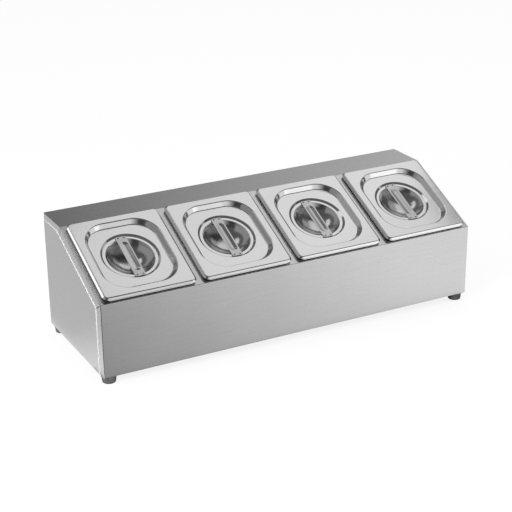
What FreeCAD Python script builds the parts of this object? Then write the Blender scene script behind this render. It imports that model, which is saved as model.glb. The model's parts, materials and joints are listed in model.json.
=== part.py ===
import FreeCAD, Part
import math
import operator
import os
import Sketcher

# Condiment tray: a folded stainless body on four rubber feet, with a sloped deck that carries a row of
# gastronorm pans, each closed by a lift-off lid with a strap handle across its finger bowl.
# Millimetres, +Z up, +X along the row. The origin lies under the middle of the tray, at the foot bottoms.

PAN_COUNT = 4

DIMENSIONS = {
    # Pan row and the slope that carries it
    "pan_width": 162.0,
    "pan_length": 176.0,
    "pan_gap": 12.6,
    "end_margin": 7.1,
    "deck_margin": 2.4,
    "slope_angle": 24.86,
    "front_height": 127.0,
    "shelf_depth": 78.0,
    # Folded body sheet
    "body_sheet": 1.0,
    "bend_radius": 1.6,
    "front_strip": 19.0,
    "deck_strip": 18.0,
    "shelf_strip": 12.0,
    "flange_lap": 8.0,
    "back_flange": 16.0,
    "mitre_gap": 1.5,
    "mitre_start": 2.6,
    "fit_gap": 0.3,
    # Pans
    "pan_sheet": 0.8,
    "pan_depth": 100.0,
    "pan_rim": 3.9,
    "pan_flange": 13.0,
    "pan_outer_corner": 13.0,
    "pan_corner": 27.0,
    "pan_taper": 7.5,
    "shoulder_drop": 16.0,
    "shoulder_step": 1.6,
    "pan_floor_radius": 9.0,
    "pan_edge_radius": 0.6,
    "pan_clearance": 2.0,
    "seat_gap": 0.2,
    # Lids
    "lid_sheet": 0.8,
    "lid_rim": 3.9,
    "lid_edge_radius": 3.4,
    "lid_outer_corner": 9.0,
    "lid_clearance": 2.5,
    "recess_depth": 8.0,
    "recess_run": 5.75,
    "recess_corner": 42.0,
    "recess_edge_radius": 2.4,
    "ring_radius": 46.5,
    "ring_drop": 2.5,
    "ledge_width": 5.8,
    "bowl_depth": 20.0,
    # Strap handles
    "strap_sheet": 1.2,
    "strap_width": 19.0,
    "strap_end_gap": 3.0,
    "strap_corner": 2.5,
    "groove_width": 14.0,
    "groove_floor": 3.0,
    "groove_length": 66.0,
    "groove_depth": 1.4,
    # Feet and their fasteners
    "foot_height": 14.0,
    "foot_top_diameter": 26.0,
    "foot_bottom_diameter": 22.0,
    "foot_edge_radius": 1.5,
    "foot_margin": 1.0,
    "foot_end_margin": 0.5,
    "counterbore_depth": 6.0,
    "screw_diameter": 5.0,
    "screw_head_diameter": 9.5,
    "screw_head_height": 3.4,
    "screw_tip": 1.5,
    "screw_clearance": 0.5,
    "thread_gap": 0.15,
    "washer_diameter": 12.0,
    "washer_thickness": 1.0,
    "nut_flats": 8.0,
    "nut_height": 4.0,
    # Cuts run past the solid by this much
    "overrun": 3.0,
}

GROOVE_CORNER_SHARE = 0.45
HEXAGON_CORNER_SHARE = 1 / math.sqrt(3)
TOLERANCE_SHARE = 0.01
FULL_TURN = 360.0
FLOOR_STEPS = 3

DOC = FreeCAD.newDocument("condiment_tray")
PARTS = []


# Sizes that keep their sheet formula

OPERATIONS = {"+": operator.add, "-": operator.sub, "*": operator.mul, "/": operator.truediv}


class Size:
    """A value together with the sheet formula that gives it."""

    def __init__(self, value, formula):
        self.value = value
        self.formula = formula

    def __add__(self, other):
        return combine(self, "+", other)

    def __sub__(self, other):
        return combine(self, "-", other)

    def __rsub__(self, other):
        return combine(other, "-", self)

    def __mul__(self, other):
        return combine(self, "*", other)

    def __truediv__(self, other):
        return combine(self, "/", other)

    def __neg__(self):
        return combine(0, "-", self)


def as_size(value):
    return value if isinstance(value, Size) else Size(value, repr(value))


def combine(left, sign, right):
    left, right = as_size(left), as_size(right)
    value = OPERATIONS[sign](left.value, right.value)
    return Size(value, f"({left.formula} {sign} {right.formula})")


def sine(angle):
    return Size(math.sin(math.radians(angle.value)), f"sin({angle.formula} * 1 deg)")


def cosine(angle):
    return Size(math.cos(math.radians(angle.value)), f"cos({angle.formula} * 1 deg)")


class Sheet:
    """The spreadsheet of driving dimensions, each one an attribute that gives its size."""

    def __init__(self, dimensions):
        cells = DOC.addObject("Spreadsheet::Sheet", "sizes")
        for row, (name, value) in enumerate(dimensions.items(), start=1):
            cells.set(f"A{row}", name)
            cells.set(f"B{row}", str(value))
            cells.setAlias(f"B{row}", name)
            setattr(self, name, Size(value, f"sizes.{name}"))
        DOC.recompute()


d = Sheet(DIMENSIONS)
ZERO = as_size(0.0)

# Places that several pieces share

slope_sine = sine(d.slope_angle)
slope_cosine = cosine(d.slope_angle)
slope_length = d.pan_length + d.deck_margin * 2
pan_pitch = d.pan_width + d.pan_gap
body_length = pan_pitch * PAN_COUNT - d.pan_gap + d.end_margin * 2
body_depth = slope_length * slope_cosine + d.shelf_depth

half_length = body_length / 2
front_y = -(body_depth / 2)
back_y = body_depth / 2
bend_y = back_y - d.shelf_depth
floor_z = d.foot_height
front_z = floor_z + d.front_height
top_z = front_z + slope_length * slope_sine

return_flange = d.foot_top_diameter + d.foot_margin * 2
inside_ends = half_length - d.body_sheet
hole_radius = d.screw_diameter / 2 + d.screw_clearance
foot_x = half_length - d.foot_end_margin - d.foot_top_diameter / 2
foot_y = body_depth / 2 - d.foot_margin - d.foot_top_diameter / 2

# Heights above the deck, along its normal
pan_top = d.seat_gap + d.pan_rim
lid_low = pan_top + d.seat_gap
lid_top = lid_low + d.lid_rim
recess_floor = lid_top - d.recess_depth
ledge = recess_floor - d.ring_drop


# Sketch and feature helpers

def bind(item, name, size):
    item.setExpression(name, size.formula)


def new_body(label):
    body = DOC.addObject("PartDesign::Body", label)
    body.Label = label
    PARTS.append(body)
    return body


def sketch_on(body, role, offset=ZERO):
    """A sketch on one of the body's own origin planes, moved along the plane's normal."""
    sketch = body.newObject("Sketcher::SketchObject", f"{body.Name}_sketch")
    plane = next(item for item in body.Origin.OriginFeatures if item.Role == role)
    sketch.AttachmentSupport = (plane, [""])
    sketch.MapMode = "FlatFace"
    bind(sketch, "AttachmentOffset.Base.z", offset)
    return sketch


def constrain(sketch, size, *constraint):
    index = sketch.addConstraint(Sketcher.Constraint(*constraint, size.value))
    bind(sketch, f"Constraints[{index}]", size)


def place_point(sketch, geometry, point, x, y):
    constrain(sketch, x, "DistanceX", geometry, point)
    constrain(sketch, y, "DistanceY", geometry, point)


def flat(x, y):
    return FreeCAD.Vector(x.value, y.value, 0)


def outline(sketch, points):
    """A closed outline of straight lines."""
    first = sketch.GeometryCount
    count = len(points)
    for number, point in enumerate(points):
        following = points[(number + 1) % count]
        sketch.addGeometry(Part.LineSegment(flat(*point), flat(*following)), False)
    for number, (x, y) in enumerate(points):
        following = first + (number + 1) % count
        sketch.addConstraint(Sketcher.Constraint("Coincident", first + number, 2, following, 1))
        place_point(sketch, first + number, 1, x, y)


def rectangle(sketch, low_x, low_y, high_x, high_y):
    outline(sketch, [(low_x, low_y), (high_x, low_y), (high_x, high_y), (low_x, high_y)])


def rounded_rectangle(sketch, x, width, length, radius):
    """A rectangle with round corners, centred on (x, 0)."""
    first = sketch.GeometryCount
    reach_x = width / 2 - radius
    reach_y = length / 2 - radius
    corners = [(x + reach_x, reach_y), (x - reach_x, reach_y), (x - reach_x, -reach_y), (x + reach_x, -reach_y)]
    quarter_turn = math.pi / 2
    for number, corner in enumerate(corners):
        full = Part.Circle(flat(*corner), FreeCAD.Vector(0, 0, 1), radius.value)
        arc = Part.ArcOfCircle(full, number * quarter_turn, (number + 1) * quarter_turn)
        geometry = sketch.addGeometry(arc, False)
        place_point(sketch, geometry, 3, *corner)
        constrain(sketch, radius, "Radius", geometry)
    for number in range(len(corners)):
        arc = first + number
        following = first + (number + 1) % len(corners)
        side = Part.LineSegment(sketch.getPoint(arc, 2), sketch.getPoint(following, 1))
        line = sketch.addGeometry(side, False)
        sketch.addConstraint(Sketcher.Constraint("Tangent", arc, 2, line, 1))
        sketch.addConstraint(Sketcher.Constraint("Tangent", line, 2, following, 1))


def circle(sketch, x, y, radius):
    full = Part.Circle(flat(x, y), FreeCAD.Vector(0, 0, 1), radius.value)
    geometry = sketch.addGeometry(full, False)
    place_point(sketch, geometry, 3, x, y)
    constrain(sketch, radius, "Radius", geometry)


def hexagon(sketch, x, y, flats):
    half = flats / 2
    side = flats * HEXAGON_CORNER_SHARE / 2
    corner = flats * HEXAGON_CORNER_SHARE
    outline(sketch, [
        (x + half, y - side), (x + half, y + side), (x, y + corner),
        (x - half, y + side), (x - half, y - side), (x, y - corner),
    ])


def extrude(body, kind, sketch, length, symmetric=False, reverse=False):
    feature = body.newObject(f"PartDesign::{kind}", f"{body.Name}_{kind.lower()}")
    feature.Profile = sketch
    feature.SideType = "Symmetric" if symmetric else "One side"
    feature.Reversed = reverse
    bind(feature, "Length", length)
    return feature


def pad(body, sketch, length, symmetric=False, reverse=False):
    return extrude(body, "Pad", sketch, length, symmetric, reverse)


def pocket(body, sketch, length, symmetric=False, reverse=False):
    """Cuts the sketch out of the body, and makes sure that the cut met the solid."""
    DOC.recompute()
    before = body.Shape.Volume
    feature = extrude(body, "Pocket", sketch, length, symmetric, reverse)
    DOC.recompute()
    if not body.Shape.Volume < before:
        raise RuntimeError(f"{feature.Label} cut nothing")
    return feature


def loft(body, kind, sections):
    feature = body.newObject(f"PartDesign::{kind}", f"{body.Name}_{kind.lower()}")
    feature.Profile = sections[0]
    feature.Sections = sections[1:]
    feature.Ruled = True
    return feature


def revolve(body, kind, sketch):
    feature = body.newObject(f"PartDesign::{kind}", f"{body.Name}_{kind.lower()}")
    feature.Profile = sketch
    feature.ReferenceAxis = (sketch, ["V_Axis"])
    feature.Angle = FULL_TURN
    return feature


def fillet(body, radius, wanted):
    """Rounds the edges that the test picks on the body as it stands."""
    DOC.recompute()
    base = body.Tip
    names = [f"Edge{number}" for number, edge in enumerate(base.Shape.Edges, start=1) if wanted(edge)]
    if not names:
        raise RuntimeError(f"no edge to round on {body.Label}")
    feature = body.newObject("PartDesign::Fillet", f"{body.Name}_fillet")
    feature.Base = (base, names)
    bind(feature, "Radius", radius)
    return feature


def near(value, size):
    return abs(value - size.value) < TOLERANCE_SHARE * d.lid_sheet.value


def lies_at(edge, axis, size):
    """True where every end of the edge has this coordinate."""
    return all(near(getattr(vertex.Point, axis), size) for vertex in edge.Vertexes)


# Body of folded sheet

def front_corner(inset):
    """The bend between front and deck, moved inwards from both by the inset."""
    return front_y + inset, front_z - inset * (1 - slope_sine) / slope_cosine


def shelf_corner(inset):
    """The bend between deck and shelf, moved inwards from both by the inset."""
    return bend_y + inset * (1 - slope_cosine) / slope_sine, top_z - inset


def strip_edge(lap):
    """The line along shelf, deck and front where the end strips stop, moved further in by a lap."""
    deck_y, deck_z = front_corner(d.deck_strip + lap)
    shelf_y, shelf_z = shelf_corner(d.deck_strip + lap)
    wider = d.front_strip - d.deck_strip
    narrower = d.deck_strip - d.shelf_strip
    return [
        (back_y, top_z - d.shelf_strip - lap),
        (shelf_y + narrower * slope_cosine / slope_sine, shelf_z + narrower),
        (deck_y + wider, deck_z + wider * slope_sine / slope_cosine),
        (front_y + d.front_strip + lap, floor_z),
    ]


def wrap_flange_outline(sketch):
    """The flange that the wrap folds down each end: a strip that shows, and a lap behind the end panel."""
    outline(sketch, [
        (front_y, floor_z), front_corner(ZERO), shelf_corner(ZERO), (back_y, top_z),
    ] + strip_edge(d.flange_lap))


def mitre_outlines(sketch):
    """The slits that part the end flanges at the two bends."""
    half = d.mitre_gap / 2
    start_y, start_z = front_corner(d.mitre_start)
    end_y, end_z = front_corner(d.front_strip + d.flange_lap + d.overrun)
    outline(sketch, [
        (start_y, start_z - half), (end_y, end_z - half), (end_y, end_z + half), (start_y, start_z + half),
    ])
    start_y, start_z = shelf_corner(d.mitre_start)
    end_y, end_z = shelf_corner(d.deck_strip + d.flange_lap + d.overrun)
    outline(sketch, [
        (start_y - half, start_z), (end_y - half, end_z), (end_y + half, end_z), (start_y + half, start_z),
    ])


def is_wrap_bend(edge):
    """The outer edges of the two bends along the tray and of the flanges at both ends."""
    ends = [vertex.Point for vertex in edge.Vertexes]
    if len(ends) != 2:
        return False
    corners = [(front_y, front_z), (bend_y, top_z)]
    along_tray = any(
        all(near(end.y, y) and near(end.z, z) for end in ends) for y, z in corners
    )
    at_end = lies_at(edge, "x", half_length) or lies_at(edge, "x", -half_length)
    on_front = lies_at(edge, "y", front_y)
    on_shelf = lies_at(edge, "z", top_z)
    on_slope = all(near(above_deck(end), ZERO) for end in ends)
    return along_tray or (at_end and (on_front or on_shelf or on_slope))


def above_deck(point):
    """How far a point lies above the deck's upper face."""
    rise = (point.z - front_z.value) * slope_cosine.value
    return rise - (point.y - front_y.value) * slope_sine.value


def make_body_wrap():
    body = new_body("body_wrap")
    section = sketch_on(body, "YZ_Plane")
    outline(section, [
        (front_y, floor_z), front_corner(ZERO), shelf_corner(ZERO), (back_y, top_z),
        (back_y, top_z - d.body_sheet), shelf_corner(d.body_sheet), front_corner(d.body_sheet),
        (front_y + d.body_sheet, floor_z),
    ])
    pad(body, section, body_length, symmetric=True)

    returns = sketch_on(body, "YZ_Plane")
    rectangle(returns, front_y, floor_z, front_y + return_flange, floor_z + d.body_sheet)
    rectangle(returns, back_y - d.body_sheet, top_z - d.shelf_strip, back_y, top_z)
    pad(body, returns, (inside_ends - d.mitre_gap) * 2, symmetric=True)

    for side in (-1, 1):
        flanges = sketch_on(body, "YZ_Plane", half_length * side)
        wrap_flange_outline(flanges)
        pad(body, flanges, d.body_sheet, reverse=side > 0)
    fillet(body, d.bend_radius, is_wrap_bend)

    mitres = sketch_on(body, "YZ_Plane")
    mitre_outlines(mitres)
    pocket(body, mitres, body_length + d.overrun * 2, symmetric=True)

    openings = sketch_on(body, "XY_Plane")
    openings.AttachmentOffset = FreeCAD.Placement(
        FreeCAD.Vector(), FreeCAD.Rotation(FreeCAD.Vector(1, 0, 0), d.slope_angle.value))
    bind(openings, "AttachmentOffset.Rotation.Angle", d.slope_angle)
    bind(openings, "AttachmentOffset.Base.y", deck_middle()[0])
    bind(openings, "AttachmentOffset.Base.z", deck_middle()[1])
    spread = (d.pan_sheet + d.pan_clearance) * 2
    for number in range(PAN_COUNT):
        rounded_rectangle(
            openings, pan_x(number), d.pan_width - d.pan_flange * 2 + spread,
            d.pan_length - d.pan_flange * 2 + spread, d.pan_corner + spread / 2)
    pocket(body, openings, (d.body_sheet + d.overrun) * 2, symmetric=True)

    cut_foot_holes(body, [(-foot_x, -foot_y), (foot_x, -foot_y)])


def cut_foot_holes(body, places):
    holes = sketch_on(body, "XY_Plane", floor_z)
    for x, y in places:
        circle(holes, x, y, hole_radius)
    pocket(body, holes, (d.body_sheet + d.overrun) * 2, symmetric=True)


def make_end_panel(label, side):
    """An end sheet lapped over the wrap's flanges, folded inwards at the back and along the bottom."""
    body = new_body(label)
    outer_x = (half_length + d.body_sheet) * side
    plate = sketch_on(body, "YZ_Plane", outer_x)
    outline(plate, strip_edge(ZERO) + [(back_y, floor_z)])
    pad(body, plate, d.body_sheet, reverse=side > 0)

    back_fold = sketch_on(body, "XY_Plane", floor_z)
    rectangle(back_fold, outer_x, back_y - d.body_sheet, outer_x - d.back_flange * side, back_y)
    pad(body, back_fold, top_z - d.shelf_strip - d.flange_lap - d.mitre_gap - floor_z)

    bottom_fold = sketch_on(body, "XY_Plane", floor_z)
    rectangle(
        bottom_fold, outer_x, front_y + return_flange + d.mitre_gap,
        (inside_ends - return_flange) * side, back_y - d.body_sheet * 2 - d.mitre_gap)
    pad(body, bottom_fold, d.body_sheet)

    cut_foot_holes(body, [(foot_x * side, foot_y)])
    fillet(body, d.bend_radius, lambda edge: lies_at(edge, "x", outer_x) and lies_at(edge, "y", back_y))


def make_back_panel():
    body = new_body("back_panel")
    half_width = inside_ends - d.fit_gap
    face_y = back_y - d.body_sheet
    plate = sketch_on(body, "XZ_Plane", -face_y)
    rectangle(plate, -half_width, floor_z, half_width, top_z - d.body_sheet - d.fit_gap)
    pad(body, plate, d.body_sheet)

    fold = sketch_on(body, "XY_Plane", floor_z)
    half_fold = inside_ends - return_flange - d.mitre_gap
    rectangle(fold, -half_fold, face_y - return_flange, half_fold, face_y)
    pad(body, fold, d.body_sheet)


def make_base_panel():
    body = new_body("base_panel")
    half_width = inside_ends - d.fit_gap
    plate = sketch_on(body, "XY_Plane", floor_z + d.body_sheet)
    rectangle(
        plate, -half_width, front_y + d.body_sheet + d.fit_gap,
        half_width, back_y - d.body_sheet * 2 - d.fit_gap)
    for x, y in foot_places():
        circle(plate, x, y, hole_radius)
    pad(body, plate, d.body_sheet)


# Pans, lids and handles, modelled flat on the deck and then laid on the slope

def pan_x(number):
    return pan_pitch * (number - (PAN_COUNT - 1) / 2)


def deck_middle():
    """The middle of the deck's upper face, across the tray."""
    return front_y + slope_length * slope_cosine / 2, front_z + slope_length * slope_sine / 2


def lay_on_deck(body, number):
    middle_y, middle_z = deck_middle()
    body.Placement = FreeCAD.Placement(
        FreeCAD.Vector(), FreeCAD.Rotation(FreeCAD.Vector(1, 0, 0), d.slope_angle.value))
    bind(body, "Placement.Rotation.Angle", d.slope_angle)
    bind(body, "Placement.Base.x", pan_x(number))
    bind(body, "Placement.Base.y", middle_y)
    bind(body, "Placement.Base.z", middle_z)


def rim_block(body, low, height, sheet, corner):
    """The flat top of a pan or lid with its turned-down rim, hollow from below."""
    outer = sketch_on(body, "XY_Plane", low)
    rounded_rectangle(outer, ZERO, d.pan_width, d.pan_length, corner)
    pad(body, outer, height)
    inner = sketch_on(body, "XY_Plane", low)
    rounded_rectangle(inner, ZERO, d.pan_width - sheet * 2, d.pan_length - sheet * 2, corner - sheet)
    pocket(body, inner, height - sheet, reverse=True)


def section_at(body, height, width, length, radius):
    sketch = sketch_on(body, "XY_Plane", height)
    rounded_rectangle(sketch, ZERO, width, length, radius)
    return sketch


def pan_sections(body, sheet):
    """The tub's outline from its mouth over the shoulder to the rounded floor, grown outwards by the sheet."""
    mouth_width = d.pan_width - d.pan_flange * 2
    mouth_length = d.pan_length - d.pan_flange * 2
    shoulder = pan_top - d.shoulder_drop
    shoulder_inset = d.pan_taper * (d.shoulder_drop / d.pan_depth)
    floor = pan_top - d.pan_depth + d.pan_sheet - sheet
    floor_inset = d.pan_taper + d.shoulder_step
    radius = d.pan_floor_radius + sheet
    levels = [
        (pan_top, ZERO),
        (shoulder, shoulder_inset),
        (shoulder - d.shoulder_step, shoulder_inset + d.shoulder_step),
    ]
    for step in range(FLOOR_STEPS + 1):
        turn = math.pi / 2 * step / FLOOR_STEPS
        levels.append((floor + radius * (1 - math.sin(turn)), floor_inset + radius * (1 - math.cos(turn))))
    return [
        section_at(
            body, height, mouth_width + (sheet - inset) * 2, mouth_length + (sheet - inset) * 2,
            d.pan_corner + sheet - inset)
        for height, inset in levels
    ]


def make_pan(number):
    body = new_body(f"pan_{number + 1}")
    rim_block(body, d.seat_gap, d.pan_rim, d.pan_sheet, d.pan_outer_corner)
    loft(body, "AdditiveLoft", pan_sections(body, d.pan_sheet))
    loft(body, "SubtractiveLoft", pan_sections(body, ZERO))
    fillet(body, d.pan_edge_radius, is_flange_rim)
    lay_on_deck(body, number)


def is_flange_rim(edge):
    """The outer edge of a pan's flat flange."""
    reach_x = d.pan_width.value / 2 - d.pan_flange.value / 2
    reach_y = d.pan_length.value / 2 - d.pan_flange.value / 2
    outside = all(abs(v.Point.x) > reach_x or abs(v.Point.y) > reach_y for v in edge.Vertexes)
    return lies_at(edge, "z", pan_top) and outside


def bowl_outline(sketch, top, sheet):
    """Half section of the round step, its ledge and the bowl, grown outwards by the sheet."""
    ring = d.ring_radius + sheet
    mouth = d.ring_radius - d.ledge_width + sheet
    level = ledge - sheet
    ball = (mouth * mouth + d.bowl_depth * d.bowl_depth) / (d.bowl_depth * 2)
    centre = level - d.bowl_depth + ball
    bottom = level - d.bowl_depth
    points = [(ZERO, bottom), (ZERO, top), (ring, top), (ring, level), (mouth, level)]
    lines = []
    for start, end in zip(points, points[1:]):
        lines.append(sketch.addGeometry(Part.LineSegment(flat(*start), flat(*end)), False))
    for line, following in zip(lines, lines[1:]):
        sketch.addConstraint(Sketcher.Constraint("Coincident", line, 2, following, 1))
    for line, (x, y) in zip(lines[1:], points[1:]):
        place_point(sketch, line, 1, x, y)
    place_point(sketch, lines[-1], 2, *points[-1])
    full = Part.Circle(flat(ZERO, centre), FreeCAD.Vector(0, 0, 1), ball.value)
    rim_angle = math.atan2(level.value - centre.value, mouth.value)
    arc = sketch.addGeometry(Part.ArcOfCircle(full, -math.pi / 2, rim_angle), False)
    place_point(sketch, arc, 3, ZERO, centre)
    sketch.addConstraint(Sketcher.Constraint("Coincident", arc, 2, lines[-1], 2))
    sketch.addConstraint(Sketcher.Constraint("Coincident", arc, 1, lines[0], 1))
    sketch.addConstraint(Sketcher.Constraint("Vertical", lines[0]))


def recess_sections(body, sheet, top):
    """The lid's recess from its upper edge to its floor, grown outwards by the sheet."""
    border = d.pan_flange + d.lid_clearance
    width = d.pan_width - (border - sheet) * 2
    length = d.pan_length - (border - sheet) * 2
    corner = d.recess_corner + sheet
    run = d.recess_run
    return [
        section_at(body, top, width, length, corner),
        section_at(body, recess_floor - sheet, width - run * 2, length - run * 2, corner - run),
    ]


def make_lid(number):
    body = new_body(f"lid_{number + 1}")
    rim_block(body, lid_low, d.lid_rim, d.lid_sheet, d.lid_outer_corner)
    under = lid_top - d.lid_sheet
    fillet(body, d.lid_edge_radius - d.lid_sheet, lambda edge: lies_at(edge, "z", under))
    fillet(body, d.lid_edge_radius, lambda edge: lies_at(edge, "z", lid_top))

    loft(body, "AdditiveLoft", recess_sections(body, d.lid_sheet, under))
    bowl_back = sketch_on(body, "XZ_Plane")
    bowl_outline(bowl_back, recess_floor, d.lid_sheet)
    revolve(body, "Revolution", bowl_back)
    loft(body, "SubtractiveLoft", recess_sections(body, ZERO, lid_top))
    bowl_face = sketch_on(body, "XZ_Plane")
    bowl_outline(bowl_face, recess_floor + d.overrun, ZERO)
    revolve(body, "Groove", bowl_face)
    reach = d.pan_length / 2 - d.pan_flange
    fillet(body, d.recess_edge_radius, lambda edge: lies_at(edge, "z", lid_top) and in_reach(edge, reach))
    lay_on_deck(body, number)


def in_reach(edge, reach):
    return all(abs(vertex.Point.y) < reach.value for vertex in edge.Vertexes)


def groove_sections(body, level):
    """The strap's pressed groove from its mouth at a level down to its narrow floor."""
    run = d.groove_width - d.groove_floor
    mouth_corner = d.groove_width * GROOVE_CORNER_SHARE
    floor_corner = d.groove_floor * GROOVE_CORNER_SHARE
    return [
        section_at(body, level, d.groove_width, d.groove_length, mouth_corner),
        section_at(body, level - d.groove_depth, d.groove_floor, d.groove_length - run, floor_corner),
    ]


def make_lid_handle(number):
    """A flat strap across the bowl, with a pressed groove, welded to the ledge at both ends."""
    body = new_body(f"lid_handle_{number + 1}")
    length = (d.ring_radius - d.strap_end_gap) * 2
    pad(body, section_at(body, ledge, d.strap_width, length, d.strap_corner), d.strap_sheet)
    loft(body, "AdditiveLoft", groove_sections(body, ledge))
    loft(body, "SubtractiveLoft", groove_sections(body, ledge + d.strap_sheet))
    lay_on_deck(body, number)


# Feet and their fasteners

def foot_places():
    return [(foot_x * along, foot_y * across) for across in (-1, 1) for along in (-1, 1)]


def make_foot(label, x, y):
    """A tapered rubber foot with a counterbored screw hole."""
    body = new_body(label)
    section = sketch_on(body, "XZ_Plane")
    head_hole = d.screw_head_diameter / 2 + d.screw_clearance
    outline(section, [
        (head_hole, ZERO), (d.foot_bottom_diameter / 2, ZERO), (d.foot_top_diameter / 2, d.foot_height),
        (hole_radius, d.foot_height), (hole_radius, d.counterbore_depth), (head_hole, d.counterbore_depth),
    ])
    revolve(body, "Revolution", section)
    outer = d.foot_bottom_diameter / 2
    fillet(body, d.foot_edge_radius, lambda edge: lies_at(edge, "z", ZERO) and edge.BoundBox.XMax > head_hole.value
           and near(edge.BoundBox.XMax, outer))
    bind(body, "Placement.Base.x", x)
    bind(body, "Placement.Base.y", y)


def make_foot_screws():
    body = new_body("foot_screws")
    seat = d.counterbore_depth
    tip = floor_z + d.body_sheet * 2 + d.washer_thickness + d.nut_height + d.screw_tip
    heads = sketch_on(body, "XY_Plane", seat - d.screw_head_height)
    shanks = sketch_on(body, "XY_Plane", seat)
    for x, y in foot_places():
        circle(heads, x, y, d.screw_head_diameter / 2)
        circle(shanks, x, y, d.screw_diameter / 2)
    pad(body, heads, d.screw_head_height)
    pad(body, shanks, tip - seat)


def make_foot_washers():
    body = new_body("foot_washers")
    rings = sketch_on(body, "XY_Plane", floor_z + d.body_sheet * 2)
    for x, y in foot_places():
        circle(rings, x, y, d.washer_diameter / 2)
        circle(rings, x, y, hole_radius)
    pad(body, rings, d.washer_thickness)


def make_foot_nuts():
    body = new_body("foot_nuts")
    faces = sketch_on(body, "XY_Plane", floor_z + d.body_sheet * 2 + d.washer_thickness)
    for x, y in foot_places():
        hexagon(faces, x, y, d.nut_flats)
        circle(faces, x, y, d.screw_diameter / 2 + d.thread_gap)
    pad(body, faces, d.nut_height)


# Whole tray

def check_document():
    """Stops the build where a feature failed or a piece has no valid shape."""
    failed = [item.Label for item in DOC.Objects if "Invalid" in item.State or "Error" in item.State]
    if failed:
        raise RuntimeError(f"failed features: {failed}")
    for body in PARTS:
        if body.Shape.isNull() or not body.Shape.isValid() or not body.Shape.Solids:
            raise RuntimeError(f"{body.Label} has no valid solid")


def main():
    make_body_wrap()
    make_end_panel("left_end_panel", -1)
    make_end_panel("right_end_panel", 1)
    make_back_panel()
    make_base_panel()
    for number in range(PAN_COUNT):
        make_pan(number)
        make_lid(number)
        make_lid_handle(number)
    names = ["foot_front_left", "foot_front_right", "foot_back_left", "foot_back_right"]
    for name, (x, y) in zip(names, foot_places()):
        make_foot(name, x, y)
    make_foot_screws()
    make_foot_washers()
    make_foot_nuts()

    DOC.recompute()
    check_document()
    os.makedirs("parts", exist_ok=True)
    for body in PARTS:
        body.Shape.exportStep(f"parts/{body.Label}.step")
        print(f"{body.Label}: {len(body.Shape.Solids)} solid(s), {body.Shape.Volume:.0f} mm3")


main()
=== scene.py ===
import json
import math
from collections import namedtuple

import bmesh
import bpy
from mathutils import Matrix, Vector


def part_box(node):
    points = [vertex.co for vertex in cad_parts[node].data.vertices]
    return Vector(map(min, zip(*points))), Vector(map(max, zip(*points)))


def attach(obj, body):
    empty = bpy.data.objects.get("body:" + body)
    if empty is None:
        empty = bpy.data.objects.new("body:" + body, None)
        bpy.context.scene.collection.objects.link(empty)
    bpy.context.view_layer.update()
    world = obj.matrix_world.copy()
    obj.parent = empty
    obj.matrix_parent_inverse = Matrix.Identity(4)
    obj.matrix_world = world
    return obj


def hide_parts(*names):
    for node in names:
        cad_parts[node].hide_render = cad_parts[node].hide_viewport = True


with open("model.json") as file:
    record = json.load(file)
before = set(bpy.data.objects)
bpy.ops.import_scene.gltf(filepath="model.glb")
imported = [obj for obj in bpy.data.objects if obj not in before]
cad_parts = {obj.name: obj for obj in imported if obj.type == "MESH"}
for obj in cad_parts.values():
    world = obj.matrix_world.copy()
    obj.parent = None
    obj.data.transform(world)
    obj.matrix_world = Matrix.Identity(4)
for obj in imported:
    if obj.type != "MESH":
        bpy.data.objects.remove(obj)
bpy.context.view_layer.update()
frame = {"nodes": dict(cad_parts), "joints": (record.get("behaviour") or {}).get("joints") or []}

# Looks of a counter-top condiment tray: brushed stainless body, bright pressed lids over satin pans,
# strap handles with weld dots, and moulded rubber feet. Metres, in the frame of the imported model.

# The deck's tilt

lift_axis = Vector(next(joint["axis"] for joint in frame["joints"] if joint["name"] == "pan_1_lift"))
SLOPE = math.atan2(-lift_axis.y, lift_axis.z)
DECK = Matrix.Rotation(SLOPE, 4, "X")

# Lids: the turned-down rim, the recess, the round step and the finger bowl

LID_SHEET = 0.0008
LID_CORNER = 0.009
LID_BORDER = 0.0155
RIM_HEIGHT = 0.0039
RIM_CURL = 0.0014
RIM_CURL_HEIGHT = 0.0005
RIM_CURL_ROUNDING = 0.00015
RIM_BEVEL = 0.0030
RIM_ROUNDING = 0.0003
RIM_CREST = 0.0030
RIM_SUPPORT = 0.000015
RECESS_CORNER = 0.042
RECESS_RUN = 0.00575
RECESS_FOOT = 0.0092
RECESS_DEPTH = 0.008
RECESS_ROUNDING = 0.0032
RING_RADIUS = 0.0475
RING_DROP = 0.0025
RING_RUN = 0.0019
RING_APRON = 0.0057
RING_ROUNDING = 0.0012
LEDGE_WIDTH = 0.0068
BOWL_DEPTH = 0.020
BOWL_RIM_ROUNDING = 0.0016
BOWL_SLOT = 1

# Pans: the flange with its curled edge, the shoulder and the tub

PAN_NUMBERS = (1, 2, 3, 4)
PAN_SHEET = 0.0008
PAN_CORNER_OUTER = 0.013
PAN_FLANGE = 0.013
PAN_CORNER = 0.027
PAN_EDGE_RADIUS = 0.0008
PAN_CURL = 0.0035
PAN_CURL_HEIGHT = 0.0024
PAN_CURL_ROUNDING = 0.0004
PAN_RIM_SUPPORT = 0.00005
PAN_MOUTH_ROUNDING = 0.0026
PAN_DEPTH = 0.100
PAN_TAPER = 0.0075
SHOULDER_DROP = 0.016
SHOULDER_STEP = 0.0016
SHOULDER_ROUNDING = 0.0009
PAN_FLOOR_RADIUS = 0.009
PAN_FLOOR_RUN = 0.0117

# Strap handles: the rolled edge, the pressed groove and the weld dots

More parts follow.
